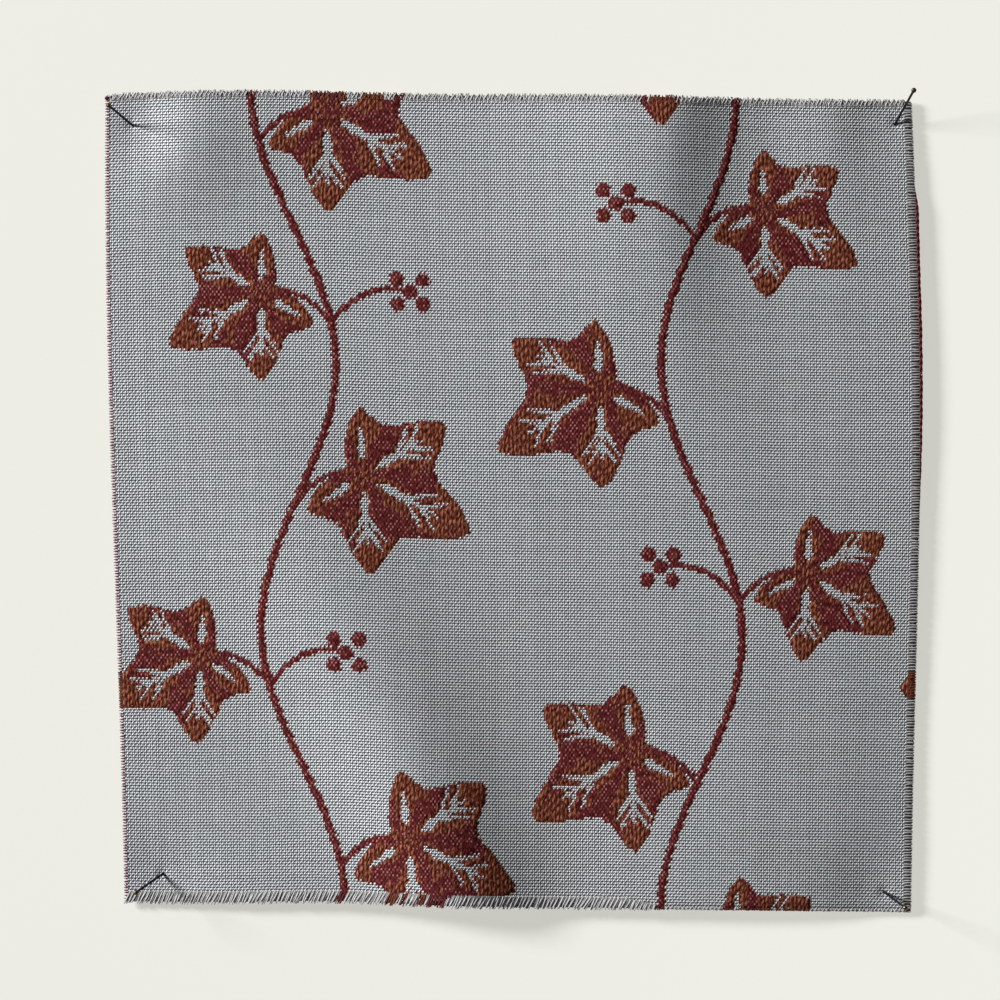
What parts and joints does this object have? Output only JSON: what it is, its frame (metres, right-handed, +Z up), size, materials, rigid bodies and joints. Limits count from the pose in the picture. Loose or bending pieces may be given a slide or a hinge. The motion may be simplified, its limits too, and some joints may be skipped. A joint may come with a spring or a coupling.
{
  "type": "pinned fabric sample",
  "caption": "Square sample of heavy figured woven cloth with frayed cut edges, held off a board in soft folds by slanting ball headed pins at its corners.",
  "frame": {"origin": "on the face of the board that the sample is pinned to, behind the middle of the cloth", "axes": "+Y into the board, +Z up the cloth, +X to the right as seen from the front; the cloth faces -Y"},
  "size_m": [0.2019, 0.0229, 0.2036],
  "materials": {
    "woven_cloth": "matt grey woven ground with a rust and burgundy woven figure",
    "black_enamel": "glossy black enamel on steel wire",
    "brass_ball": "satin, slightly tarnished"
  },
  "bodies": {
    "root": {"cloth": "woven_cloth", "pin_shaft_top_left": "black_enamel", "pin_shaft_top_right": "black_enamel", "pin_shaft_bottom_left": "black_enamel", "pin_shaft_bottom_right": "black_enamel", "pin_head_top_left": "brass_ball", "pin_head_top_right": "brass_ball", "pin_head_bottom_left": "brass_ball", "pin_head_bottom_right": "brass_ball"}
  },
  "joints": []
}
